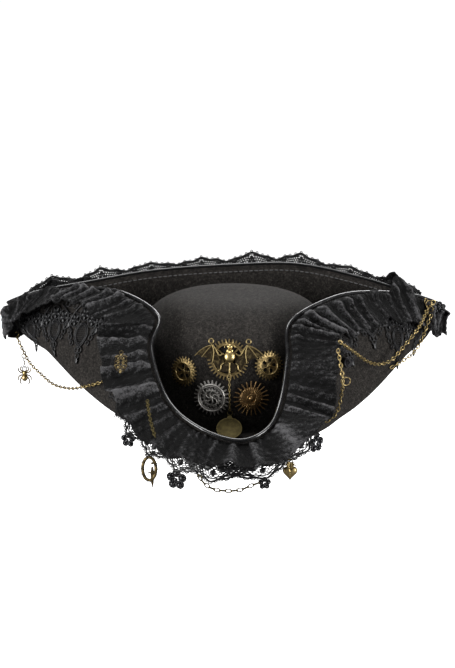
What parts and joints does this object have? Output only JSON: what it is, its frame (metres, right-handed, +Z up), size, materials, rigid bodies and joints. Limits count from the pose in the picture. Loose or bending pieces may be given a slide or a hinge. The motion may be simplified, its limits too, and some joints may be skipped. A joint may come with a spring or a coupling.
{
  "type": "tricorn hat",
  "caption": "Felt tricorn hat with a cocked brim, pleated ruffles and lace under its edge, gears and a bat on the crown, and chains and charms.",
  "frame": {"origin": "centre of the head opening, in the plane of its sides", "axes": "+X to the wearer's left tip (right in the picture), -Y towards the front corner, +Z up through the crown"},
  "size_m": [0.4357, 0.3725, 0.1573],
  "materials": {
    "felt": "matt black-brown wool felt",
    "piping_leather": "glossy black imitation leather",
    "ruffle_cloth": "black crinkled cloth",
    "lace_thread": "black polyester thread",
    "antique_brass": "antique gold plate, dark in the recesses",
    "dark_bronze": "dark bronze plate",
    "gunmetal": "worn gunmetal plate",
    "copper": "copper-bronze plate",
    "black_bead": "glossy black",
    "rose_cloth": "black satin"
  },
  "bodies": {
    "root": {"felt_body": "felt", "edge_piping": "piping_leather", "ruffle_front": "ruffle_cloth", "ruffle_back": "ruffle_cloth", "lace_front": "lace_thread", "lace_left": "lace_thread", "lace_right": "lace_thread", "lace_back": "lace_thread", "gear_large": "antique_brass", "bat": "antique_brass", "gear_left": "dark_bronze", "gear_right": "dark_bronze", "gear_silver": "gunmetal", "gear_sunburst": "copper", "medallion": "dark_bronze", "chain_left": "antique_brass", "chain_front": "antique_brass", "chain_right_upper": "antique_brass", "chain_right_lower": "antique_brass", "chain_right_drop": "antique_brass", "chain_cheek": "antique_brass", "spider": "antique_brass", "thorn_charm": "dark_bronze", "heart_padlock": "antique_brass", "filigree_charm": "antique_brass", "flower_front_left": "black_bead", "flower_front_right": "black_bead", "flower_left": "black_bead", "flower_right": "black_bead", "rose_upper": "rose_cloth", "rose_lower": "rose_cloth"}
  },
  "joints": []
}
